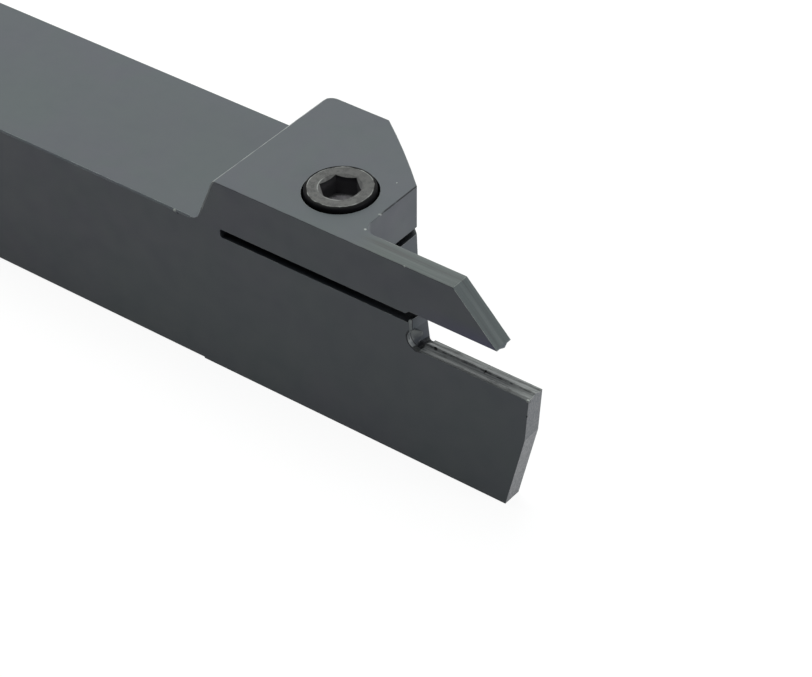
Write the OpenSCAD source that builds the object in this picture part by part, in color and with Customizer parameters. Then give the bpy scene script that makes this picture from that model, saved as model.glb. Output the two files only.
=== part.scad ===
// Grooving tool holder for a lathe. A square steel shank carries a raised head and a thin blade,
// and a long slit through the head leaves a springy upper jaw that one cap screw pulls down.
// Millimetres. +X points to the blade tip, +Y away from the blade, +Z up.
// The origin is the middle of the underside.

/* [Shank] */
// Width of the shank, across the tool
shank_w = 25; // [20:0.5:32]
// Height of the shank, which is also the height of the cutting edge
shank_h = 25; // [22:0.5:32]
// Length from the rear end to the blade tip
overall_len = 150; // [110:1:250]
// Bevel around the rear end face
end_bevel = 1; // [0.4:0.1:2]
// Bevel along the four long edges of the shank
edge_break = 0.2; // [0.1:0.05:0.35]

/* [Head] */
// Rise of the head above the shank
head_rise = 8; // [7:0.25:11]
// Length of the head's top, from its rear edge to the block's front face
head_len = 23.4; // [22:0.2:34]
// Steepness of the ramp behind the head, in degrees
ramp_angle = 65.5; // [50:0.5:80]
// Radius where the ramp meets the shank
ramp_fillet = 1.8; // [0.6:0.1:2.5]
// Bevel along the head's rear top edge
crest_bevel = 0.22; // [0.1:0.02:0.5]
// Radius on the head's far rear corner
rear_round = 1.5; // [0.3:0.1:2]
// Length of the cut-back front corner, along the tool
corner_run = 12.7; // [8:0.1:16]
// Depth of the cut-back front corner, across the tool
corner_cut = 10.1; // [6:0.1:13]
// Radius of the curve that the cut-back corner follows
corner_bow = 150; // [80:5:400]
// Lean of the block's front face above the slit, in degrees
front_lean = 8; // [2:0.5:12]
// Radius between the block's front face and the blade
root_fillet = 2.2; // [1:0.1:3]

/* [Slit] */
// Height of the slit
slit_h = 1.36; // [0.8:0.02:1.8]
// Drop of the slit's floor below the top of the shank
slit_drop = 1.17; // [0.9:0.01:2]
// Distance from the head's rear top edge to the slit's closed end
slit_start = 0.55; // [0.3:0.05:4]
// Radius in the corners of the slit's closed end
slit_round = 0.35; // [0.1:0.01:0.38]

/* [Blade] */
// Thickness of the blade
blade_t = 3; // [2.6:0.1:5]
// Reach of the blade past the block
blade_reach = 29.2; // [26:0.1:34]
// Drop of the insert seat below the top of the shank
seat_drop = 5.15; // [4.8:0.05:5.8]
// Clear height between the seat and the jaw
jaw_gap = 5.9; // [5.5:0.05:6.5]
// Length of the jaw's top past the block
jaw_top_reach = 17.35; // [14:0.1:19]
// Length of the jaw's underside past the block
jaw_reach = 24.2; // [21:0.1:25.5]
// Height of the locating ridge along the seat
ridge_h = 0.4; // [0.2:0.02:0.5]
// Half the width of that ridge
ridge_half = 0.8; // [0.5:0.05:1]
// Height of the ridge under the jaw
jaw_ridge_h = 0.2; // [0.1:0.02:0.4]
// Width of that ridge's flat crest
jaw_crest = 0.1; // [0.1:0.05:0.8]
// Distance of that ridge from the near side
jaw_ridge_in = 1.4; // [1.2:0.05:1.6]
// Bevel along the near edge of the seat
seat_bevel = 0.06; // [0.04:0.01:0.25]
// Clearance angle of the blade's front, in degrees
tip_relief = 6; // [3:0.5:10]
// Height of the upper part of the blade's front
tip_land = 7.1; // [4:0.1:10]
// Clearance angle of the lower part of the blade's front, in degrees
heel_relief = 14.8; // [8:0.2:20]

/* [Insert pocket] */
// Length of the seat along the blade's far side, from the pocket's rear wall to the tip
seat_len = 18.37; // [17.5:0.1:20]
// Turn of the rear wall in plan, in degrees
wall_turn = 10; // [0:1:12]
// Lean of the wall's lower part, measured at its foot
wall_lean = 0.25; // [0.1:0.05:0.4]
// Bevel on the wall's near edge
wall_bevel = 0.22; // [0.1:0.02:0.4]
// Height of the lip at the wall's top, above the floor of the slit
lip_h = 0.5; // [0.3:0.05:0.6]
// Run of the slope behind that lip
lip_run = 0.15; // [0.1:0.05:0.3]
// Radius of the relief in the corner between wall and seat
corner_relief = 0.45; // [0.3:0.05:0.6]
// Distance from the near side to the start of that relief
relief_start = 0.7; // [0.5:0.05:1]
// Radius of the round recess in the wall's near side
recess_r = 1.5; // [1.2:0.05:1.6]
// Distance of the recess's centre in front of the far end of the wall's foot
recess_in = 0.1; // [0:0.05:0.3]
// Depth of that recess before its cone
recess_depth = 0.85; // [0.6:0.05:0.9]
// Included angle of that cone, in degrees
recess_angle = 90; // [88:1:110]
// Distance from the wall's near end back to the step where the slit widens
step_back = 0.8; // [0.7:0.05:1.4]
// Run of that step's slope
step_slope = 0.65; // [0.4:0.05:0.7]

/* [Clamp screw] */
// Thread size of the cap screw
screw_d = 6; // [5:0.5:6.5]
// Diameter of its head
screw_head_d = 10; // [8.5:0.1:10.5]
// Height of its head
screw_head_h = 6; // [5:0.1:6.6]
// Length under its head
screw_len = 20; // [14:1:22]
// Width across flats of its socket
key_size = 5.1; // [4:0.1:5.5]
// Depth of its socket
key_depth = 3; // [2:0.1:3.4]
// Rotation of the socket as the screw stands, in degrees
key_turn = 21; // [0:1:60]
// Radius around the top of the screw's head
screw_round = 0.3; // [0.1:0.05:0.6]
// Height that the screw's head stands above the head of the holder
screw_proud = 0.7; // [0:0.1:1.2]
// Distance from the head's rear top edge to the screw
screw_in = 15.65; // [13:0.05:16.5]
// Distance from the near side to the screw
screw_off = 8.2; // [7.5:0.05:9]
// Gap around the screw's head
head_gap = 0.35; // [0.3:0.01:0.6]
// Gap around the screw's shank where it passes the jaw
jaw_hole_gap = 0.35; // [0.3:0.01:0.6]
// Running clearance between the screw and its threaded hole
thread_gap = 0.05; // [0.02:0.01:0.09]
// Depth of the threaded hole past the end of the screw
hole_spare = 1.5; // [0.5:0.1:2]

/* [Hidden] */

// Overlap of pieces that are joined, and overshoot of cuts
joint = 0.5;
over = 1;
// Included angle of a drill point, and of the socket's mouth and floor
drill_angle = 118;
socket_angle = 120;
// Segments of small and large rounds
small_fn = 64;
large_fn = 720;

near_y = -shank_w / 2;
far_y = shank_w / 2;
rear_x = -overall_len / 2;
tip_x = overall_len / 2;
front_x = tip_x - blade_reach;
crest_x = front_x - head_len;
head_top = shank_h + head_rise;
foot_x = crest_x - head_rise / tan(ramp_angle);
fillet_run = ramp_fillet * tan(ramp_angle / 2);
blade_far = near_y + blade_t;

slit_floor = shank_h - slit_drop;
slit_roof = slit_floor + slit_h;
slit_x = crest_x + slit_start;
low_front_x = front_x - (head_top - slit_floor) * tan(front_lean);

seat_z = shank_h - seat_drop;
ridge_z = seat_z + ridge_h;
jaw_z = seat_z + jaw_gap;
ridge_y = near_y + blade_t / 2;
jaw_ridge_y = near_y + jaw_ridge_in;
seat_front_x = tip_x - ridge_h * tan(tip_relief);
kink_z = seat_z - tip_land;
kink_x = seat_front_x - tip_land * tan(tip_relief);
heel_x = kink_x - kink_z * tan(heel_relief);
nose_top_x = front_x + jaw_top_reach;
nose_x = front_x + jaw_reach;
// the wall at the blade's far side and near side, above its knee
wall_far_x = tip_x - seat_len - wall_lean;
wall_x = wall_far_x - blade_t * tan(wall_turn);
root_end_x = wall_far_x + wall_lean + corner_relief / 2;
recess_x = wall_far_x + wall_lean + recess_in;
recess_z = seat_z + recess_r - corner_relief / 5;
wall_knee_z = recess_z + recess_r;
lip_z = slit_floor + lip_h;

screw_x = crest_x + screw_in;
screw_y = near_y + screw_off;
screw_top = head_top + screw_proud;
screw_seat = screw_top - screw_head_h;
screw_tip = screw_seat - screw_len;
screw_r = screw_d / 2 - thread_gap;
hole_floor = screw_tip - hole_spare;
tip_bevel = screw_d / 8;

// Points of an arc's centre: the circle of radius r through p and q, on the side of the turn
function arc_centre(p, q, r) =
    let (mid = (p + q) / 2, half = norm(q - p) / 2, along = (q - p) / norm(q - p))
    mid + [along[1], -along[0]] * sqrt(r * r - half * half);

// Turns a profile drawn in X and Z into a slab from y0 to y1
module across(y0, y1) {
    translate([0, y1, 0]) rotate([90, 0, 0]) linear_extrude(y1 - y0) children();
}

// Turns a profile drawn in Y and Z into a bar from x0 to x1
module along(x0, x1) {
    translate([x0, 0, 0]) rotate([90, 0, 90]) linear_extrude(x1 - x0) children();
}

// What lies between a square corner and a round of radius r in it
module corner_2d(r) {
    difference() {
        translate([-joint, -joint]) square(r + joint);
        translate([r, r]) circle(r, $fn = small_fn);
    }
}

// Rectangle from low to high with its corners bevelled
module bevelled_2d(low, high, b) {
    polygon([
        [low[0] + b, low[1]], [high[0] - b, low[1]], [high[0], low[1] + b], [high[0], high[1] - b],
        [high[0] - b, high[1]], [low[0] + b, high[1]], [low[0], high[1] - b], [low[0], low[1] + b]
    ]);
}

// Square bar behind the head, bevelled at its rear end and along its edges
module shank() {
    // the side and plan profiles run past the joint, so their front bevels stay out of the bar
    join_x = foot_x - fillet_run;
    intersection() {
        along(rear_x, join_x) bevelled_2d([near_y, 0], [far_y, shank_h], edge_break);
        across(near_y, far_y) bevelled_2d([rear_x, 0], [join_x + end_bevel, shank_h], end_bevel);
        linear_extrude(shank_h) bevelled_2d([rear_x, near_y], [join_x + end_bevel, far_y], end_bevel);
    }
}

// Side view of the head: ramp with its fillet, top, and front face leaning back above the slit
module head_side() {
    top_in = crest_bevel / tan(ramp_angle);
    polygon([
        [foot_x - fillet_run, 0], [foot_x - fillet_run, shank_h], [foot_x, shank_h],
        [crest_x - top_in, head_top - crest_bevel], [crest_x + crest_bevel, head_top],
        [front_x, head_top], [low_front_x, slit_floor], [low_front_x, 0]
    ]);
    difference() {
        polygon([
            [foot_x - fillet_run, shank_h - joint], [foot_x - fillet_run, shank_h],
            [foot_x + fillet_run * cos(ramp_angle), shank_h + fillet_run * sin(ramp_angle)],
            [foot_x + fillet_run, shank_h - joint]
        ]);
        translate([foot_x - fillet_run, shank_h + ramp_fillet]) circle(ramp_fillet, $fn = small_fn);
    }
}

// Plan view of the head, with its far front corner cut back along a long curve
module head_plan() {
    corner_start = [front_x - corner_run, far_y];
    corner_end = [front_x, far_y - corner_cut];
    intersection() {
        translate([foot_x - fillet_run, near_y]) square([front_x - foot_x + fillet_run, shank_w]);
        translate(arc_centre(corner_start, corner_end, corner_bow)) circle(corner_bow, $fn = large_fn);
    }
}

// Round on the head's far rear corner, running up the ramp
module rear_corner_cut() {
    intersection() {
        translate([foot_x, far_y, shank_h]) rotate([0, 90 - ramp_angle, 0])
            translate([0, 0, -head_rise]) mirror([0, 1, 0]) linear_extrude(3 * head_rise)
                corner_2d(rear_round);
        translate([foot_x - head_rise, near_y, shank_h])
            cube([head_rise + head_len, shank_w + over, head_rise + over]);
    }
}

// Concave round between the block's front face and the blade, leaning with the face above the slit
module root_rounds() {
    translate([low_front_x, blade_far, 0]) linear_extrude(slit_floor) corner_2d(root_fillet);
    intersection() {
        translate([low_front_x, blade_far, slit_floor]) rotate([0, front_lean, 0])
            translate([0, 0, -head_rise]) linear_extrude(4 * head_rise) corner_2d(root_fillet);
        translate([low_front_x - joint, blade_far - joint, slit_floor])
            cube([blade_reach, shank_w, head_top - slit_floor]);
    }
}

// Frame of the pocket's rear wall, which is turned in plan about its near end
module wall_frame() {
    translate([wall_x, near_y, 0]) rotate([0, 0, -wall_turn]) children();
}

// Blade between the block and the pocket's rear wall
module blade_root() {
    space_len = root_end_x - wall_x + over;
    difference() {
        across(near_y, blade_far)
            translate([low_front_x - joint, 0]) square([root_end_x - low_front_x + joint, head_top]);
        wall_frame() across(-over, blade_t + over) polygon([
            [wall_lean, seat_z], [0, wall_knee_z], [0, jaw_z + joint], [space_len, jaw_z + joint],
            [space_len, seat_z]
        ]);
    }
}

// Lower blade, with the ridge along its seat and two clearance angles down its front
module lower_blade() {
    intersection() {
        across(near_y, blade_far) polygon([
            [wall_x - joint, 0], [heel_x, 0], [kink_x, kink_z], [tip_x, ridge_z],
            [wall_x - joint, ridge_z]
        ]);
        along(wall_x - joint, tip_x + over) polygon([
            [near_y, 0], [blade_far, 0], [blade_far, seat_z],
            [ridge_y + ridge_half, seat_z], [ridge_y, ridge_z], [ridge_y - ridge_half, seat_z],
            [near_y + 3 * seat_bevel, seat_z], [near_y, seat_z - seat_bevel]
        ]);
    }
}

// Upper jaw over the pocket, with a slanted nose and a ridge along its underside
module jaw() {
    crest_z = jaw_z - jaw_ridge_h;
    crest_nose_x = nose_x + jaw_ridge_h * (nose_x - nose_top_x) / (head_top - jaw_z);
    intersection() {
        across(near_y, blade_far) polygon([
            [wall_x - joint, crest_z], [crest_nose_x, crest_z],
            [nose_top_x, head_top], [wall_x - joint, head_top]
        ]);
        along(wall_x - joint, tip_x) polygon([
            [near_y, head_top], [near_y, jaw_z], [jaw_ridge_y - ridge_half, jaw_z],
            [jaw_ridge_y - jaw_crest / 2, crest_z], [jaw_ridge_y + jaw_crest / 2, crest_z],
            [jaw_ridge_y + ridge_half, jaw_z], [blade_far, jaw_z], [blade_far, head_top]
        ]);
    }
}

// Slit through the whole head, round in the corners of its closed end. At the pocket its roof
// steps up, and a lip stands on its floor.
module slit_cut() {
    slit_end = wall_far_x + over;
    lip_x = wall_x - wall_bevel;
    across(near_y - over, far_y + over) {
        difference() {
            translate([slit_x, slit_floor]) square([slit_end - slit_x, slit_h]);
            translate([slit_x, slit_floor]) corner_2d(slit_round);
            translate([slit_x, slit_roof]) mirror([0, 1]) corner_2d(slit_round);
            polygon([
                [lip_x - lip_run, slit_floor], [lip_x, lip_z], [slit_end + over, lip_z],
                [slit_end + over, slit_floor - joint], [lip_x - lip_run, slit_floor - joint]
            ]);
        }
        polygon([
            [wall_x - step_back, slit_roof - joint], [wall_x - step_back, slit_roof],
            [wall_x - step_back + step_slope, jaw_z], [slit_end, jaw_z],
            [slit_end, slit_roof - joint]
        ]);
    }
}

// Round relief at the foot of the pocket's wall, round recess in its near side, and the bevel on
// its near edge
module pocket_cuts() {
    cone_h = recess_r / tan(recess_angle / 2);
    wall_frame() across(relief_start, blade_t + over)
        translate([wall_lean + corner_relief, seat_z + corner_relief / 4])
            circle(corner_relief, $fn = small_fn);
    translate([recess_x, near_y, recess_z]) rotate([-90, 0, 0]) {
        translate([0, 0, -over]) cylinder(h = recess_depth + over, r = recess_r, $fn = small_fn);
        translate([0, 0, recess_depth]) cylinder(h = cone_h, r1 = recess_r, r2 = 0, $fn = small_fn);
    }
    translate([wall_x, near_y, recess_z]) linear_extrude(slit_roof - recess_z) polygon([
        [-wall_bevel - over, -over], [2 * over - wall_bevel, -over], [2 * over - wall_bevel, 2 * over]
    ]);
}

// Counterbore, clearance hole in the jaw and blind threaded hole for the clamp screw
module screw_holes() {
    tap_r = screw_r + thread_gap;
    translate([screw_x, screw_y, 0]) {
        translate([0, 0, screw_seat])
            cylinder(h = screw_head_h + over, r = screw_head_d / 2 + head_gap, $fn = small_fn);
        translate([0, 0, slit_roof - joint])
            cylinder(h = screw_seat - slit_roof + 2 * joint, r = screw_r + jaw_hole_gap, $fn = small_fn);
        translate([0, 0, hole_floor])
            cylinder(h = slit_floor - hole_floor + joint, r = tap_r, $fn = small_fn);
        translate([0, 0, hole_floor - tap_r / tan(drill_angle / 2)])
            cylinder(h = tap_r / tan(drill_angle / 2), r1 = 0, r2 = tap_r, $fn = small_fn);
    }
}

// One piece of steel: shank, head, blade and springy upper jaw
module holder_body() {
    color([0.36, 0.39, 0.4])
    difference() {
        union() {
            shank();
            difference() {
                intersection() {
                    across(near_y, far_y) head_side();
                    linear_extrude(head_top) head_plan();
                }
                rear_corner_cut();
            }
            root_rounds();
            blade_root();
            lower_blade();
            jaw();
        }
        slit_cut();
        pocket_cuts();
        screw_holes();
    }
}

// Half profile of the cap screw, from its tip to the top of its head
module screw_profile() {
    head_r = screw_head_d / 2;
    polygon([
        [0, 0], [screw_r - tip_bevel, 0], [screw_r, tip_bevel], [screw_r, screw_len + joint],
        [0, screw_len + joint]
    ]);
    translate([0, screw_len]) square([head_r - screw_round, screw_head_h]);
    translate([0, screw_len]) square([head_r, screw_head_h - screw_round]);
    translate([head_r - screw_round, screw_len + screw_head_h - screw_round])
        circle(screw_round, $fn = small_fn);
}

// Hexagon socket cap screw that pulls the jaw down
module clamp_screw() {
    key_r = key_size / 2 / cos(30);
    floor_cone = key_size / 2 / tan(socket_angle / 2);
    mouth_r = key_r + screw_round / 3;
    color([0.3, 0.31, 0.31])
    translate([screw_x, screw_y, screw_tip])
    difference() {
        rotate_extrude($fn = small_fn) screw_profile();
        translate([0, 0, screw_len + screw_head_h]) {
            translate([0, 0, -key_depth]) rotate([0, 0, key_turn])
                cylinder(h = key_depth + over, r = key_r, $fn = 6);
            translate([0, 0, -key_depth - floor_cone])
                cylinder(h = floor_cone, r1 = 0, r2 = key_size / 2, $fn = small_fn);
            translate([0, 0, -mouth_r / tan(socket_angle / 2)])
                cylinder(h = mouth_r / tan(socket_angle / 2), r1 = 0, r2 = mouth_r, $fn = small_fn);
        }
    }
}

holder_body();
clamp_screw();
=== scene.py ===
"""Looks of the turning tool holder: materials, floor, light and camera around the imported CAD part.

Metres, in the CAD's own frame: +X towards the blade tip, +Y away from the blade side, +Z up.
"""
import math

import bpy
from mathutils import Matrix, Vector


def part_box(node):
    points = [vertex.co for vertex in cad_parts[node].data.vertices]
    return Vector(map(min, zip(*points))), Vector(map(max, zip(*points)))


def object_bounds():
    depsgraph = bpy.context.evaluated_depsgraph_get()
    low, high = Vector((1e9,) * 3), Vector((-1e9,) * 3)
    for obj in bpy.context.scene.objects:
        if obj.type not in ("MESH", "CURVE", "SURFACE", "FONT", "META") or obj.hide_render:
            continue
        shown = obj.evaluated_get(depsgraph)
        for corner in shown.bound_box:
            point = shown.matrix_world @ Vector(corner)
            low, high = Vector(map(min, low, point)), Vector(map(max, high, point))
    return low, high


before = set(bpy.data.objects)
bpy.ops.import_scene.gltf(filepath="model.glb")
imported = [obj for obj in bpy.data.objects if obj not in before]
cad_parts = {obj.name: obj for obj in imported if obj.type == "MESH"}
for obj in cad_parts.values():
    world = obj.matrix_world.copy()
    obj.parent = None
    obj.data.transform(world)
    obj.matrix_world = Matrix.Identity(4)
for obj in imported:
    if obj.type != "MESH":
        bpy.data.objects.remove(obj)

MM = 0.001
CAD_LOW, CAD_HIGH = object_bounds()
SCREW_LOW, SCREW_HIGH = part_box("clamp_screw")
SCREW_MIDDLE = (SCREW_LOW + SCREW_HIGH) / 2

# Camera of the photograph
CAMERA_PLACE = Vector((244.49, -241.15, 259.10)) * MM
CAMERA_AZIMUTH = math.radians(39.65)
CAMERA_ELEVATION = math.radians(38.73)
CAMERA_ROLL = math.radians(-2.71)
CAMERA_LENS = 128.16
CAMERA_SENSOR = 36.0
CAMERA_CLIP = (0.01, 20.0)

# Colours as linear values
HOLDER_COLOUR = (0.086, 0.107, 0.117)
HOLDER_COLOUR_COOL = (0.092, 0.101, 0.124)
# Violet painted shade for a band along the jaw's lower near edge
VIOLET_SHADE = (0.088, 0.090, 0.168)
# Worn bright steel, also used for painted highlights on edges, in the pocket and along the ramp
WORN_AND_HIGHLIGHT = (0.48, 0.51, 0.50)
GROUND_DARK = (0.066, 0.071, 0.076)
GROUND_LIGHT = (0.27, 0.28, 0.29)
# Painted reflection of the floor on the blade's ground front
BLADE_FRONT_REFLECTION = (0.38, 0.385, 0.40)
JAW_GREEN = (0.088, 0.112, 0.100)
# Near black for grime spots and scores, and for painted shade in the pocket's creases and the recess
GRIME_AND_SHADE = (0.010, 0.010, 0.011)
# Painted shade for the slit, round the screw and narrow corners
CREVICE_SHADE = (0.004, 0.004, 0.005)
SCREW_BLACK = (0.007, 0.007, 0.008)
SOCKET_WALL = (0.085, 0.083, 0.088)
SCREW_DARK = (0.040, 0.040, 0.042)
SCREW_LIGHT = (0.112, 0.112, 0.113)
# Steel worn bright, also used for the painted highlight along the screw head's rims
SCREW_RUBBED_AND_HIGHLIGHT = (0.38, 0.39, 0.39)
SOCKET_FLOOR = (0.52, 0.49, 0.54)
FLOOR_COLOUR = (0.16, 0.16, 0.165)
TOP_LIGHT_COLOUR = (0.96, 1.0, 0.92)
WORLD_COLOUR = (0.86, 0.91, 1.0)
WHITE = (1.0, 1.0, 1.0)

# Roughness from the smoothest spots to the dullest, and specular level of grime and painted shade, steel and
# the screw's top
STEEL_ROUGHNESS = (0.40, 0.50)
SCREW_ROUGHNESS = (0.36, 0.58)
DULL_SPECULAR = 0.05
STEEL_SPECULAR = 0.42
SCREW_SPECULAR = 0.40

# The floor's own white as the camera sees it, and with a painted shadow as the object mirrors it close by,
# the distance over which one turns into the other in front of the object, and how much sooner it does so
# elsewhere
FLOOR_SIZE = 6.0
FLOOR_GLOW = 0.92
FLOOR_GLOW_SHADOWED = 0.56
GLOW_RUN = 30 * MM
GLOW_STEEPNESS = 4.0

# Lamps: place, the point that they are turned to, size, power and colour. Strength of the world's light
TOP_BOX = ((-0.22, 0.22, 0.90), (0.02, 0, 0.02), 0.8, 6.7, TOP_LIGHT_COLOUR)
RIGHT_BOX = ((0.36, 0.06, 0.07), (0.06, 0, 0.02), 0.12, 0.38, WHITE)
WORLD_STRENGTH = 0.10

# Heights and edges of the holder that its material follows
TIP_X = CAD_HIGH.x
NEAR_Y = CAD_LOW.y
BLADE_FAR_Y = NEAR_Y + 3.0 * MM
BLOCK_FRONT_X = TIP_X - 29.2 * MM
CREST_X = BLOCK_FRONT_X - 23.4 * MM
RAMP_ANGLE = math.radians(65.5)
SHANK_TOP = 25.0 * MM
SEAT_START_X = TIP_X - 18.9 * MM
SEAT_BOTTOM, SEAT_TOP = 19.80 * MM, 20.40 * MM
SLIT_BOTTOM, SLIT_TOP = 23.80 * MM, 25.80 * MM
HEAD_TOP = 33.0 * MM

# Radii that the holder's and the screw's edges seem to have, and the distance over which the holder's edges
# are worn and carry a painted highlight
EDGE_ROUND = 0.10 * MM
SCREW_EDGE_ROUND = 0.06 * MM
WEAR_AND_HIGHLIGHT_REACH = 0.21 * MM

# The pocket's rear wall and the round recess and groove in it
WALL_NEAR_X = TIP_X - 19.15 * MM
WALL_TURN = math.radians(10.0)
RECESS_AXIS = (TIP_X - 18.27 * MM, 0.0, 21.26 * MM)
RECESS_RADIUS = 1.5 * MM
RECESS_DEPTH = 0.85 * MM
GROOVE_IN = 0.70 * MM
GROOVE_Z = 19.96 * MM
GROOVE_RADIUS = 0.45 * MM
RIDGE_Y = NEAR_Y + 1.5 * MM
FRONT_KINK_Z = 12.75 * MM

# Scales of the noises in the holder's material, in cycles per metre
TINT_SCALE = 45.0
FINE_TINT_SCALE = 190.0
SMUDGE_SCALE = 300.0
NEAR_BURR_SCALE = 400.0
RAMP_HIGHLIGHT_SCALE = 450.0
BLOCK_BURR_SCALE = 500.0
WEAR_AND_HIGHLIGHT_SCALE = 500.0
RIDGE_SHADE_SCALE = 900.0
JAW_LINE_SCALE = 1300.0
SCORE_SCALE = 2300.0
SEAT_LINE_SCALE = 2600.0
MARK_OUTLINE_SCALE = 3000.0
BLADE_GRAIN_SCALE = 3500.0
STEEL_GRAIN_SCALE = 6000.0

# Scales of the noises in the screw's material
RIM_WEAR_AND_HIGHLIGHT_SCALE = 500.0
RING_OUTLINE_SCALE = 900.0
BLOTCH_SCALE = 1000.0

# Rays that each ambient occlusion or bevel node sends out
NODE_SAMPLES = 8

# Squeeze of the noise along each axis: for lines along the seat, lines along the jaw's top and nose, and
# short scores in the seat
ALONG_SEAT = (0.025, 1.0, 1.0)
ALONG_JAW = (0.025, 1.0, 0.025)
ALONG_SCORES = (0.16, 1.0, 1.0)

# Marks on the holder, each with its place and radius in millimetres
NICKS = (
    ((14.7, -12.5, 24.9), 0.30),
    ((45.7, -5.4, 33.0), 0.22),
    ((46.1, -9.1, 33.0), 0.22),
    ((45.3, -0.1, 31.1), 0.16),
    ((43.1, 1.5, 33.0), 0.11),
    ((55.3, -12.5, 33.0), 0.16),
    ((74.8, -12.4, 19.8), 0.30),
    ((23.2, -12.5, 24.0), 0.13),
)
DIRT_AND_SHADE_SPOTS = (
    ((58.9, -11.1, 20.1), 0.30),
    ((67.1, -11.1, 20.1), 0.30),
    ((74.7, -12.5, 17.1), 0.16),
    ((15.3, -12.5, 24.6), 0.18),
    # Painted shade in the recess's upper left
    ((56.1, -12.2, 22.2), 0.60),
)

# The screw's head: its axis, the height of its flat ring, and the radii of the ring's two rims
SCREW_AXIS = (SCREW_MIDDLE.x, SCREW_MIDDLE.y, 0.0)
RING_HEIGHT = SCREW_HIGH.z
RING_OUTER = 4.56 * MM
RING_INNER = 3.08 * MM


def add_node(tree, kind, inputs=None, **settings):
    """Makes a shader node, gives its settings, and sets or links its inputs by name or index."""
    node = tree.nodes.new(kind)
    for name, value in settings.items():
        setattr(node, name, value)
    for key, value in (inputs or {}).items():
        if isinstance(value, bpy.types.NodeSocket):
            tree.links.new(value, node.inputs[key])
        else:
            node.inputs[key].default_value = value
    return node


def noise(tree, place, scale, detail=2.0, roughness=0.5):
    """Noise between 0 and 1, with its scale in cycles per metre."""
    inputs = {"Vector": place, "Scale": scale, "Detail": detail, "Roughness": roughness}
    return add_node(tree, "ShaderNodeTexNoise", inputs).outputs["Fac"]


def between(tree, value, low, high, out_low=0.0, out_high=1.0):
    """Maps value from low..high to out_low..out_high, clamped."""
    return add_node(
        tree,
        "ShaderNodeMapRange",
        {"Value": value, "From Min": low, "From Max": high, "To Min": out_low, "To Max": out_high},
    ).outputs["Result"]


def maths(tree, operation, a, b):
    """One step of arithmetic on two values."""
    return add_node(tree, "ShaderNodeMath", {0: a, 1: b}, operation=operation).outputs[0]


def axes_of(tree, vector):
    """The three parts of a vector."""
    return add_node(tree, "ShaderNodeSeparateXYZ", {0: vector}).outputs


def vector_maths(tree, operation, *vectors):
    """The node for one step of arithmetic on vectors. Its results are Vector and Value."""
    return add_node(tree, "ShaderNodeVectorMath", dict(enumerate(vectors)), operation=operation)


def face_direction(tree):
    """The parts of the normal of the face itself, before any rounding."""
    return axes_of(tree, add_node(tree, "ShaderNodeNewGeometry").outputs["Normal"])


def blend_colours(tree, share, a, b):
    """Colour a where share is 0 and colour b where it is 1."""
    rgba = [c if isinstance(c, bpy.types.NodeSocket) else (*c, 1.0) for c in (a, b)]
    node = add_node(tree, "ShaderNodeMix", data_type="RGBA")
    for key, value in zip(("Factor", "A", "B"), (share, *rgba)):
        socket = next(s for s in node.inputs if s.name == key and s.enabled)
        if isinstance(value, bpy.types.NodeSocket):
            tree.links.new(value, socket)
        else:
            socket.default_value = value
    return next(s for s in node.outputs if s.enabled)


def new_material(name):
    """A material with an empty node tree, its shader and the object's own coordinates."""
    material = bpy.data.materials.new(name)
    material.use_nodes = True
    tree = material.node_tree
    tree.nodes.clear()
    shader = add_node(tree, "ShaderNodeBsdfPrincipled")
    add_node(tree, "ShaderNodeOutputMaterial", {"Surface": shader.outputs[0]})
    place = add_node(tree, "ShaderNodeTexCoord").outputs["Object"]
    return material, tree, shader, place


def product(tree, first, *others):
    """Several shares multiplied."""
    for other in others:
        first = maths(tree, "MULTIPLY", first, other)
    return first


def halved(tree, share):
    """Half of a share."""
    return maths(tree, "MULTIPLY", share, 0.5)


def larger(tree, first, *others):
    """The largest of several shares."""
    for other in others:
        first = maths(tree, "MAXIMUM", first, other)
    return first


def inside(tree, value, low, high, soft=0.03 * MM):
    """1 where value lies from low to high, with a soft border."""
    return product(
        tree, between(tree, value, low - soft, low + soft), between(tree, value, high + soft, high - soft)
    )


def openness(tree, reach, low, high):
    """1 on open faces, 0 deep in slits and corners narrower than reach."""
    occlusion = add_node(tree, "ShaderNodeAmbientOcclusion", {"Distance": reach}, samples=NODE_SAMPLES)
    return between(tree, occlusion.outputs["AO"], low, high)


def rounded_normal(tree, radius):
    """The face's normal, turned near edges as if they were rounded."""
    return add_node(tree, "ShaderNodeBevel", {"Radius": radius}, samples=NODE_SAMPLES).outputs["Normal"]


def add_relief(tree, shader, height, strength, distance, edge_radius):
    """Gives the shader rounded edges and a fine relief."""
    inputs = {
        "Strength": strength,
        "Distance": distance,
        "Height": height,
        "Normal": rounded_normal(tree, edge_radius),
    }
    tree.links.new(add_node(tree, "ShaderNodeBump", inputs).outputs["Normal"], shader.inputs["Normal"])


def edge_share(tree, radius):
    """1 on edges that stick out, 0 on open faces, in corners and on edges that face down."""
    rounded = rounded_normal(tree, radius)
    flat = add_node(tree, "ShaderNodeNewGeometry").outputs["Normal"]
    alike = vector_maths(tree, "DOT_PRODUCT", rounded, flat).outputs["Value"]
    return product(
        tree,
        between(tree, alike, 0.992, 0.82),
        openness(tree, 3 * radius, 0.72, 0.95),
        between(tree, axes_of(tree, rounded)["Z"], -0.3, 0.3),
    )


def near_radius(tree, distance, radius, width):
    """1 where distance equals radius, falling to 0 at width to either side."""
    offset = maths(tree, "ABSOLUTE", maths(tree, "SUBTRACT", distance, radius), 0.0)
    return between(tree, offset, width, 0.3 * width)


def streaks(tree, place, scale, squeeze):
    """Noise that is drawn out where squeeze, its share of each axis, is below 1."""
    drawn = vector_maths(tree, "MULTIPLY", place, squeeze).outputs["Vector"]
    return noise(tree, drawn, scale, detail=4.0, roughness=0.7)


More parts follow.
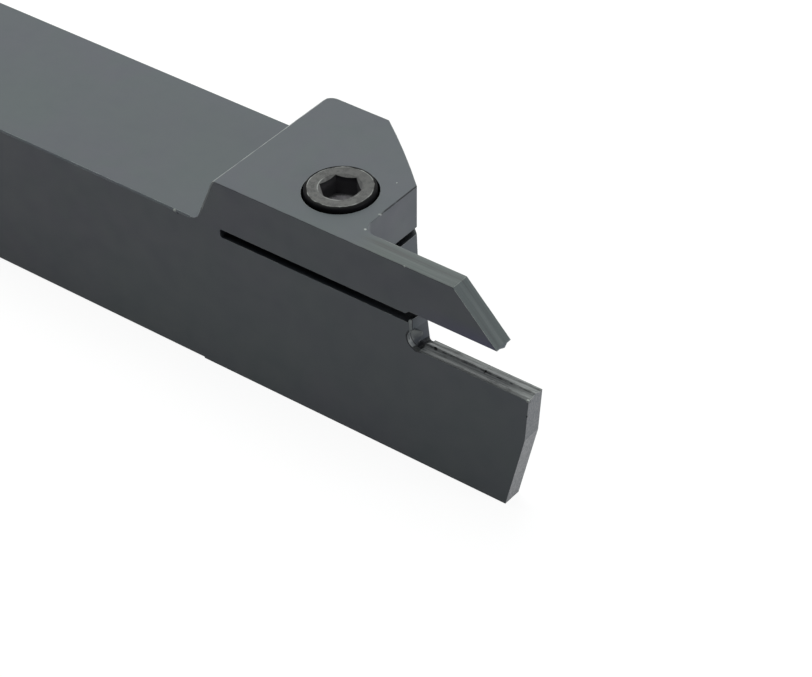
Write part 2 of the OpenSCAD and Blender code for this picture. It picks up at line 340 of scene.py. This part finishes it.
def spots(tree, place, marks):
    """1 on the marks, which have uneven outlines."""
    uneven = noise(tree, place, MARK_OUTLINE_SCALE)
    share = 0.0
    for centre_mm, radius_mm in marks:
        centre = [c * MM for c in centre_mm]
        radius = radius_mm * MM
        away = vector_maths(tree, "DISTANCE", place, centre).outputs["Value"]
        shift = between(tree, uneven, 0.3, 0.7, -0.6 * radius, 0.6 * radius)
        share = larger(tree, share, between(tree, maths(tree, "ADD", away, shift), radius, 0.4 * radius))
    return share


def blued_colour(tree, place):
    """Blued steel with a slightly uneven tint."""
    broad = between(tree, noise(tree, place, TINT_SCALE, detail=3.0), 0.35, 0.65)
    fine = between(tree, noise(tree, place, FINE_TINT_SCALE), 0.40, 0.62, 0.0, 0.6)
    return blend_colours(tree, larger(tree, broad, fine), HOLDER_COLOUR_COOL, HOLDER_COLOUR)


def violet_shade_share(tree, place, facing):
    """1 along the jaw's lower near edge, where a violet band of painted shade lies."""
    x, _, z = axes_of(tree, place)
    return product(
        tree,
        between(tree, facing["Y"], -0.8, -0.9),
        between(tree, z, SLIT_TOP - 0.15 * MM, SLIT_TOP - 0.10 * MM),
        between(tree, z, SLIT_TOP + 2.6 * MM, SLIT_TOP + 0.2 * MM),
        between(tree, x, WALL_NEAR_X, WALL_NEAR_X + 10 * MM),
    )


def seat_share(tree, place, facing):
    """1 on the insert seat and its ridge."""
    x, _, z = axes_of(tree, place)
    return product(
        tree,
        between(tree, facing["Z"], 0.3, 0.5),
        inside(tree, z, SEAT_BOTTOM, SEAT_TOP),
        between(tree, x, SEAT_START_X, SEAT_START_X + 0.3 * MM),
    )


def jaw_share(tree, place, facing):
    """1 on the jaw's top and nose, fading in from the block's front face."""
    x, y, z = axes_of(tree, place)
    return product(
        tree,
        inside(tree, y, NEAR_Y, BLADE_FAR_Y),
        between(tree, facing["Z"], 0.3, 0.5),
        between(tree, z, SLIT_TOP, SLIT_TOP + 0.2 * MM),
        between(tree, x, BLOCK_FRONT_X, BLOCK_FRONT_X + 4 * MM),
    )


def blade_front_reflection_share(tree, place, facing):
    """1 on the lower half of the blade's front, less on its upper half, where a painted reflection lightens
    it.
    """
    x, _, z = axes_of(tree, place)
    return product(
        tree,
        between(tree, facing["X"], 0.85, 0.95),
        between(tree, x, SEAT_START_X + 4 * MM, SEAT_START_X + 5 * MM),
        between(tree, z, SEAT_TOP, SEAT_BOTTOM),
        between(tree, z, FRONT_KINK_Z + 0.1 * MM, FRONT_KINK_Z - 0.1 * MM, 0.55, 1.0),
    )


def pocket_share(tree, place):
    """1 in the rear part of the pocket, from just below the seat to the lip above the slit's floor."""
    x, y, z = axes_of(tree, place)
    return product(
        tree,
        between(tree, x, WALL_NEAR_X - 2.0 * MM, WALL_NEAR_X - 1.9 * MM),
        between(tree, y, BLADE_FAR_Y + 0.1 * MM, BLADE_FAR_Y),
        inside(tree, z, SEAT_BOTTOM - 0.5 * MM, SLIT_BOTTOM + 0.8 * MM),
    )


def recess_shares(tree, place, facing):
    """Shares of the round recess: its side, bright with a painted highlight and partly worn, and the painted
    shade of its outlines and its cone.
    """
    y = axes_of(tree, place)["Y"]
    in_side_view = vector_maths(tree, "MULTIPLY", place, (1.0, 0.0, 1.0)).outputs["Vector"]
    away = vector_maths(tree, "DISTANCE", in_side_view, RECESS_AXIS).outputs["Value"]
    side = product(
        tree,
        inside(tree, away, RECESS_RADIUS - 0.05 * MM, RECESS_RADIUS + 0.05 * MM),
        inside(tree, facing["Y"], -0.1, 0.1),
    )
    # Painted shade round the recess's mouth, at its floor's edge and on its cone
    mouth = product(
        tree,
        between(tree, facing["Y"], -0.9, -0.95),
        between(tree, away, RECESS_RADIUS + 0.34 * MM, RECESS_RADIUS + 0.20 * MM),
    )
    cone_y = NEAR_Y + RECESS_DEPTH
    cone_edge = product(tree, side, between(tree, y, cone_y - 0.25 * MM, cone_y - 0.19 * MM))
    cone = product(
        tree,
        between(tree, away, RECESS_RADIUS - 0.02 * MM, RECESS_RADIUS - 0.06 * MM),
        between(tree, y, cone_y - 0.05 * MM, cone_y + 0.05 * MM, 0.0, 0.3),
    )
    return side, larger(tree, mouth, cone_edge, cone)


def groove_share(tree, place):
    """1 in the relief groove at the foot of the pocket's turned rear wall."""
    across_wall = (math.cos(WALL_TURN), -math.sin(WALL_TURN), 0.0)
    groove_x = WALL_NEAR_X * across_wall[0] + NEAR_Y * across_wall[1] + GROOVE_IN
    from_wall = vector_maths(tree, "DOT_PRODUCT", place, across_wall).outputs["Value"]
    aside = maths(tree, "SUBTRACT", from_wall, groove_x)
    above = maths(tree, "SUBTRACT", axes_of(tree, place)["Z"], GROOVE_Z)
    offset = add_node(tree, "ShaderNodeCombineXYZ", {0: aside, 1: above}).outputs[0]
    away = vector_maths(tree, "LENGTH", offset).outputs["Value"]
    return between(tree, away, GROOVE_RADIUS + 0.14 * MM, GROOVE_RADIUS + 0.08 * MM)


def rubbed_and_highlight_share(tree, place, facing):
    """1 where the pocket is bright: a painted highlight on the wall's bevel and the seat's crest, and on the
    recess's side a painted highlight, partly worn bright by rubbing.
    """
    bevel = product(
        tree, inside(tree, facing["X"], 0.55, 0.85, 0.05), inside(tree, facing["Y"], -0.85, -0.55, 0.05)
    )
    recess_side, _ = recess_shares(tree, place, facing)
    in_pocket = product(tree, pocket_share(tree, place), larger(tree, bevel, halved(tree, recess_side)))
    by_ridge_top = inside(tree, axes_of(tree, place)["Y"], RIDGE_Y - 0.02 * MM, RIDGE_Y + 0.08 * MM)
    crest = product(tree, seat_share(tree, place, facing), by_ridge_top)
    return larger(tree, in_pocket, halved(tree, crest))


def pocket_shade_and_marks(tree, place, facing):
    """1 on the pocket's dark lines: painted shade beside the wall's bevel, round the recess, in the groove
    and along the foot of the seat's ridge, and on the seat a dark line along its near edge and short scores.
    """
    y = axes_of(tree, place)["Y"]
    # Painted shade in the step beside the wall's bevel
    beside_bevel = product(
        tree, between(tree, facing["X"], 0.90, 0.95), inside(tree, y, NEAR_Y + 0.25 * MM, NEAR_Y + 0.40 * MM)
    )
    _, recess_outline = recess_shares(tree, place, facing)
    lines = larger(tree, beside_bevel, recess_outline, groove_share(tree, place))
    broken = between(tree, noise(tree, place, RIDGE_SHADE_SCALE), 0.45, 0.55, 0.1, 0.9)
    # Painted shade along the foot of the seat's ridge, broken up
    by_ridge = product(tree, inside(tree, y, RIDGE_Y - 0.28 * MM, RIDGE_Y - 0.14 * MM), broken)
    near_edge = between(tree, y, NEAR_Y + 0.10 * MM, NEAR_Y + 0.06 * MM)
    scores = between(tree, streaks(tree, place, SCORE_SCALE, ALONG_SCORES), 0.55, 0.64, 0.0, 0.65)
    on_seat = product(tree, seat_share(tree, place, facing), larger(tree, by_ridge, near_edge, scores))
    return larger(tree, product(tree, pocket_share(tree, place), lines), on_seat)


def ramp_highlight_share(tree, place):
    """1 on the painted highlights along the crest at the head's rear and the ramp's near edge, less where
    they break up.
    """
    x, y, z = axes_of(tree, place)
    crest = product(
        tree,
        inside(tree, x, CREST_X - 0.14 * MM, CREST_X + 0.24 * MM),
        between(tree, z, HEAD_TOP - 0.34 * MM, HEAD_TOP - 0.28 * MM),
    )
    run = maths(tree, "MULTIPLY", maths(tree, "SUBTRACT", HEAD_TOP, z), 1 / math.tan(RAMP_ANGLE))
    near_edge = product(
        tree,
        inside(tree, maths(tree, "ADD", x, run), CREST_X - 0.10 * MM, CREST_X + 0.24 * MM),
        between(tree, y, NEAR_Y + 0.06 * MM, NEAR_Y + 0.03 * MM),
        between(tree, z, SHANK_TOP + 1.0 * MM, SHANK_TOP + 3.0 * MM),
    )
    # Painted highlights, uneven along their length
    uneven = noise(tree, place, RAMP_HIGHLIGHT_SCALE)
    crest_highlight = product(tree, crest, between(tree, uneven, 0.38, 0.60, 0.15, 0.70))
    near_edge_highlight = product(tree, near_edge, between(tree, uneven, 0.38, 0.60, 0.5, 1.0))
    return larger(tree, crest_highlight, near_edge_highlight)


def top_edge_shares(tree, place):
    """The head's top edges: 1 where they are neither worn nor given a painted highlight, and 1 on the dark
    burrs along them.
    """
    x, y, z = axes_of(tree, place)
    block_edge = product(
        tree,
        inside(tree, x, BLOCK_FRONT_X - 0.45 * MM, BLOCK_FRONT_X + 2.4 * MM),
        between(tree, y, BLADE_FAR_Y - 0.2 * MM, BLADE_FAR_Y),
        between(tree, z, HEAD_TOP - 0.6 * MM, HEAD_TOP - 0.5 * MM),
    )
    near_edge = product(
        tree,
        between(tree, x, CREST_X + 0.3 * MM, CREST_X + 0.6 * MM),
        between(tree, y, NEAR_Y + 0.35 * MM, NEAR_Y + 0.25 * MM),
        between(tree, z, HEAD_TOP - 0.35 * MM, HEAD_TOP - 0.25 * MM),
    )
    block_burr = product(
        tree,
        between(tree, x, BLOCK_FRONT_X - 0.22 * MM, BLOCK_FRONT_X - 0.16 * MM),
        between(tree, z, HEAD_TOP - 0.14 * MM, HEAD_TOP - 0.10 * MM),
        between(tree, y, BLADE_FAR_Y + 3.5 * MM, BLADE_FAR_Y + 4.5 * MM),
        between(tree, noise(tree, place, BLOCK_BURR_SCALE), 0.36, 0.48, 0.30, 0.75),
    )
    near_burr = product(
        tree,
        near_edge,
        between(tree, y, NEAR_Y + 0.12 * MM, NEAR_Y + 0.06 * MM),
        between(tree, z, HEAD_TOP - 0.08 * MM, HEAD_TOP - 0.04 * MM),
        between(tree, noise(tree, place, NEAR_BURR_SCALE), 0.36, 0.60, 0.55, 0.20),
    )
    return larger(tree, block_edge, near_edge), larger(tree, block_burr, near_burr)


def holder_grime_and_shade(tree, place, facing, lines):
    """1 where grime spots, a burr, scores or painted shade in the pocket and recess make the holder dark and
    dull.
    """
    _, burr = top_edge_shares(tree, place)
    in_lines = product(tree, pocket_shade_and_marks(tree, place, facing), between(tree, lines, 0.3, 0.5, 0.95, 0.70))
    return larger(tree, in_lines, burr, spots(tree, place, DIRT_AND_SHADE_SPOTS))


def ground_colour(tree, place, facing, lines, colour):
    """The colour with the lines of the ground seat and the jaw's top and nose, painted light on the seat's
    ridge where it faces the near side, and the blade's ground front lightened by a painted reflection.
    """
    # Painted light: the seat's ridge slope that faces the near side is lightened
    lit_slope = between(tree, facing["Y"], -0.2, -0.35, 0.0, 0.4)
    light_lines = larger(tree, between(tree, lines, 0.44, 0.55), lit_slope)
    seat_colour = blend_colours(tree, light_lines, GROUND_DARK, GROUND_LIGHT)
    colour = blend_colours(tree, seat_share(tree, place, facing), colour, seat_colour)

    jaw = jaw_share(tree, place, facing)
    jaw_lines = streaks(tree, place, JAW_LINE_SCALE, ALONG_JAW)
    dark_lines = product(tree, jaw, between(tree, jaw_lines, 0.52, 0.68, 0.0, 0.9))
    pale_lines = product(tree, jaw, between(tree, jaw_lines, 0.48, 0.34, 0.0, 0.2))
    colour = blend_colours(tree, halved(tree, jaw), colour, JAW_GREEN)
    colour = blend_colours(tree, dark_lines, colour, GROUND_DARK)
    colour = blend_colours(tree, pale_lines, colour, GROUND_LIGHT)

    # The blade's ground front: its grain, lightened by a painted reflection
    grain = between(tree, noise(tree, place, BLADE_GRAIN_SCALE), 0.35, 0.65, 0.40, 1.0)
    front_reflection = blade_front_reflection_share(tree, place, facing)
    return blend_colours(tree, product(tree, front_reflection, grain), colour, BLADE_FRONT_REFLECTION)


def holder_colour(tree, place, facing, lines):
    """Blued steel with its tint, ground faces, nicks, edges that are worn and carry a painted highlight, a
    painted violet shade band, and painted highlights in the pocket and along the ramp.
    """
    colour = blued_colour(tree, place)
    # Painted shade: a violet band along the jaw's lower near edge
    colour = blend_colours(tree, violet_shade_share(tree, place, facing), colour, VIOLET_SHADE)
    colour = ground_colour(tree, place, facing, lines, colour)

    patchy = between(tree, noise(tree, place, WEAR_AND_HIGHLIGHT_SCALE), 0.38, 0.62, 0.15, 1.0)
    unbrightened, _ = top_edge_shares(tree, place)
    # Painted highlight along outward edges that face up, together with their worn spots
    edge_wear_and_highlight = product(tree, edge_share(tree, WEAR_AND_HIGHLIGHT_REACH), patchy, maths(tree, "SUBTRACT", 1.0, unbrightened))
    # Painted highlights in the pocket, partly worn bright
    rubbed_and_highlight = product(tree, rubbed_and_highlight_share(tree, place, facing), patchy)
    bright = larger(tree, edge_wear_and_highlight, rubbed_and_highlight, spots(tree, place, NICKS), ramp_highlight_share(tree, place))
    return blend_colours(tree, bright, colour, WORN_AND_HIGHLIGHT)


def holder_openness(tree, place):
    """1 on open faces, 0 in the slit, round the screw and in narrow corners, where the holder's colour turns
    to painted shade.
    """
    by_slit = inside(tree, axes_of(tree, place)["Z"], SLIT_BOTTOM, SLIT_TOP)
    low = between(tree, by_slit, 0.0, 1.0, 0.08, 0.32)
    high = between(tree, by_slit, 0.0, 1.0, 0.36, 0.82)
    corner = between(tree, openness(tree, 0.35 * MM, 0.45, 0.80), 0.0, 1.0, 0.35, 1.0)
    return product(tree, openness(tree, 2.6 * MM, low, high), corner)


def holder_material():
    """Blued steel: satin, a little uneven in tint, brighter along its edges where they are worn and carry a
    painted highlight, with painted shade in its crevices and pocket.
    """
    material, tree, shader, place = new_material("blued_steel")
    facing = face_direction(tree)
    lines = streaks(tree, place, SEAT_LINE_SCALE, ALONG_SEAT)
    open_share = holder_openness(tree, place)
    grime_and_shade = holder_grime_and_shade(tree, place, facing, lines)
    # Grime, burrs, scores and painted shade in the pocket turn the colour near black
    colour = blend_colours(tree, grime_and_shade, holder_colour(tree, place, facing, lines), GRIME_AND_SHADE)
    # Painted shade: near black in the slit, round the screw and in narrow corners
    tree.links.new(blend_colours(tree, open_share, CREVICE_SHADE, colour), shader.inputs["Base Color"])
    smudges = noise(tree, place, SMUDGE_SCALE, detail=4.0)
    tree.links.new(between(tree, smudges, 0.3, 0.7, *STEEL_ROUGHNESS), shader.inputs["Roughness"])
    shine = product(tree, open_share, maths(tree, "SUBTRACT", 1.0, grime_and_shade))
    specular = between(tree, shine, 0.0, 1.0, DULL_SPECULAR, STEEL_SPECULAR)
    tree.links.new(specular, shader.inputs["Specular IOR Level"])
    grain = noise(tree, place, STEEL_GRAIN_SCALE)
    add_relief(tree, shader, grain, 0.12, 0.01 * MM, EDGE_ROUND)
    return material


def screw_top_colour(tree, place, distance, across_tool, blotches):
    """Mottled grey of the screw's flat ring, shaded away from the near side, with rims that are worn bright
    by rubbing and carry a painted highlight, the inner one on its near half only.
    """
    mottled = blend_colours(tree, between(tree, blotches, 0.40, 0.56), SCREW_DARK, SCREW_LIGHT)
    shade = between(tree, across_tool, -2 * MM, 4.5 * MM, 0.0, 0.45)
    on_near_half = between(tree, across_tool, 0.5 * MM, -0.5 * MM)
    inner_rim = product(tree, near_radius(tree, distance, RING_INNER, 0.09 * MM), on_near_half)
    rims = larger(tree, near_radius(tree, distance, RING_OUTER, 0.10 * MM), inner_rim)
    # Rims worn bright by rubbing, with a painted highlight
    rubbed_and_highlight = product(tree, rims, between(tree, noise(tree, place, RIM_WEAR_AND_HIGHLIGHT_SCALE), 0.38, 0.55, 0.1, 1.0))
    return blend_colours(tree, rubbed_and_highlight, blend_colours(tree, shade, mottled, SCREW_DARK), SCREW_RUBBED_AND_HIGHLIGHT)


def ring_share(tree, place, distance, height, faces_up):
    """1 on the flat ring of the screw's head, with an uneven outline."""
    uneven = between(tree, noise(tree, place, RING_OUTLINE_SCALE), 0.3, 0.7, -0.09 * MM, 0.09 * MM)
    return product(
        tree,
        faces_up,
        between(tree, height, RING_HEIGHT - 0.45 * MM, RING_HEIGHT - 0.35 * MM),
        between(tree, maths(tree, "ADD", distance, uneven), RING_OUTER + 0.05 * MM, RING_OUTER - 0.03 * MM),
    )


def screw_material():
    """Black oxide on a cap screw: a mottled grey top with rims worn bright and given a painted highlight,
    near black elsewhere.
    """
    material, tree, shader, place = new_material("black_oxide")
    from_axis = vector_maths(tree, "SUBTRACT", place, SCREW_AXIS).outputs["Vector"]
    in_plan = vector_maths(tree, "MULTIPLY", from_axis, (1.0, 1.0, 0.0)).outputs["Vector"]
    distance = vector_maths(tree, "LENGTH", in_plan).outputs["Value"]
    height = axes_of(tree, place)["Z"]
    faces_up = between(tree, face_direction(tree)["Z"], 0.3, 0.5)
    blotches = noise(tree, place, BLOTCH_SCALE, detail=6.0, roughness=0.70)

    ring = ring_share(tree, place, distance, height, faces_up)
    top_colour = screw_top_colour(tree, place, distance, axes_of(tree, from_axis)["Y"], blotches)
    in_socket = product(
        tree,
        between(tree, distance, RING_INNER, RING_INNER - 0.1 * MM),
        between(tree, height, RING_HEIGHT, RING_HEIGHT - 1 * MM),
    )
    below_top = blend_colours(tree, in_socket, SCREW_BLACK, SOCKET_WALL)
    colour = blend_colours(tree, ring, below_top, top_colour)
    worn_floor = product(
        tree,
        faces_up,
        between(tree, distance, 2.5 * MM, 2.2 * MM),
        between(tree, ring, 1.0, 0.0),
        between(tree, blotches, 0.35, 0.6),
    )
    colour = blend_colours(tree, worn_floor, colour, SOCKET_FLOOR)

    tree.links.new(colour, shader.inputs["Base Color"])
    tree.links.new(between(tree, blotches, 0.3, 0.7, *SCREW_ROUGHNESS), shader.inputs["Roughness"])
    specular = between(tree, ring, 0.0, 1.0, DULL_SPECULAR, SCREW_SPECULAR)
    tree.links.new(specular, shader.inputs["Specular IOR Level"])
    add_relief(tree, shader, blotches, 0.15, 0.03 * MM, SCREW_EDGE_ROUND)
    return material


def seen_directly(tree):
    """1 for rays from the camera, a reflection or a glass, 0 for the light that surfaces scatter."""
    path = add_node(tree, "ShaderNodeLightPath").outputs
    return larger(tree, path["Is Camera Ray"], path["Is Glossy Ray"], path["Is Transmission Ray"])


def floor_glow(tree, place):
    """Strength of the floor's own white: even for the camera, lowered by a painted shadow where the object
    mirrors it close by.
    """
    x, y, _ = axes_of(tree, place)
    in_front = maths(tree, "SUBTRACT", NEAR_Y, y)
    behind = maths(tree, "SUBTRACT", y, CAD_HIGH.y)
    beyond = maths(tree, "SUBTRACT", maths(tree, "ABSOLUTE", x, 0.0), TIP_X)
    steep = maths(tree, "MULTIPLY", larger(tree, behind, beyond), GLOW_STEEPNESS)
    # Painted shadow: reflections see a darker floor in front of and beside the object
    mirrored_with_shadow = between(tree, larger(tree, in_front, steep), 0.0, GLOW_RUN, FLOOR_GLOW_SHADOWED, FLOOR_GLOW)
    by_camera = add_node(tree, "ShaderNodeLightPath").outputs["Is Camera Ray"]
    return product(tree, seen_directly(tree), between(tree, by_camera, 0.0, 1.0, mirrored_with_shadow, FLOOR_GLOW))


def floor_material():
    """Pale floor that the camera and reflections see near white, with the object's soft shadow on it and a
    painted shadow where the object mirrors it close by.
    """
    material, tree, shader, place = new_material("pale_floor")
    shader.inputs["Base Color"].default_value = (*FLOOR_COLOUR, 1.0)
    shader.inputs["Roughness"].default_value = 0.9
    shader.inputs["Specular IOR Level"].default_value = 0.0
    glow = add_node(tree, "ShaderNodeEmission", {"Strength": floor_glow(tree, place)})
    lit = add_node(tree, "ShaderNodeAddShader", {0: shader.outputs[0], 1: glow.outputs[0]})
    output = next(n for n in tree.nodes if n.type == "OUTPUT_MATERIAL")
    tree.links.new(lit.outputs[0], output.inputs["Surface"])
    return material


def dress(node, material):
    """Gives a CAD node its material."""
    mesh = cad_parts[node].data
    mesh.materials.clear()
    mesh.materials.append(material)


def add_floor():
    """A wide pale floor under the object."""
    bpy.ops.mesh.primitive_plane_add(size=FLOOR_SIZE, location=(0, 0, CAD_LOW.z))
    floor = bpy.context.object
    floor.name = "floor"
    floor.data.materials.append(floor_material())


def add_light(name, place, target, size, power, colour):
    """A square soft box at place, turned to target."""
    light = bpy.data.lights.new(name, "AREA")
    light.shape = "SQUARE"
    light.size = size
    light.energy = power
    light.color = colour
    lamp = bpy.data.objects.new(name, light)
    lamp.location = place
    lamp.rotation_euler = (Vector(target) - Vector(place)).to_track_quat("-Z", "Y").to_euler()
    bpy.context.scene.collection.objects.link(lamp)


def add_world(strength):
    """Even light from all round, seen as white behind the floor."""
    world = bpy.data.worlds.new("studio")
    bpy.context.scene.world = world
    world.use_nodes = True
    tree = world.node_tree
    back = tree.nodes["Background"]
    direct = seen_directly(tree)
    tree.links.new(blend_colours(tree, direct, WORLD_COLOUR, WHITE), back.inputs["Color"])
    tree.links.new(between(tree, direct, 0.0, 1.0, strength, 1.0), back.inputs["Strength"])


def add_camera():
    """The photograph's camera."""
    data = bpy.data.cameras.new("camera")
    data.sensor_width = CAMERA_SENSOR
    data.lens = CAMERA_LENS
    data.clip_start, data.clip_end = CAMERA_CLIP
    camera = bpy.data.objects.new("camera", data)
    turn = (
        Matrix.Rotation(CAMERA_AZIMUTH, 4, "Z")
        @ Matrix.Rotation(math.pi / 2 - CAMERA_ELEVATION, 4, "X")
        @ Matrix.Rotation(CAMERA_ROLL, 4, "Z")
    )
    camera.matrix_world = Matrix.Translation(CAMERA_PLACE) @ turn
    bpy.context.scene.collection.objects.link(camera)
    bpy.context.scene.camera = camera


dress("holder_body", holder_material())
dress("clamp_screw", screw_material())
add_floor()
add_light("top_box", *TOP_BOX)
add_light("right_box", *RIGHT_BOX)
add_world(WORLD_STRENGTH)
add_camera()
bpy.context.scene.view_settings.view_transform = "Standard"
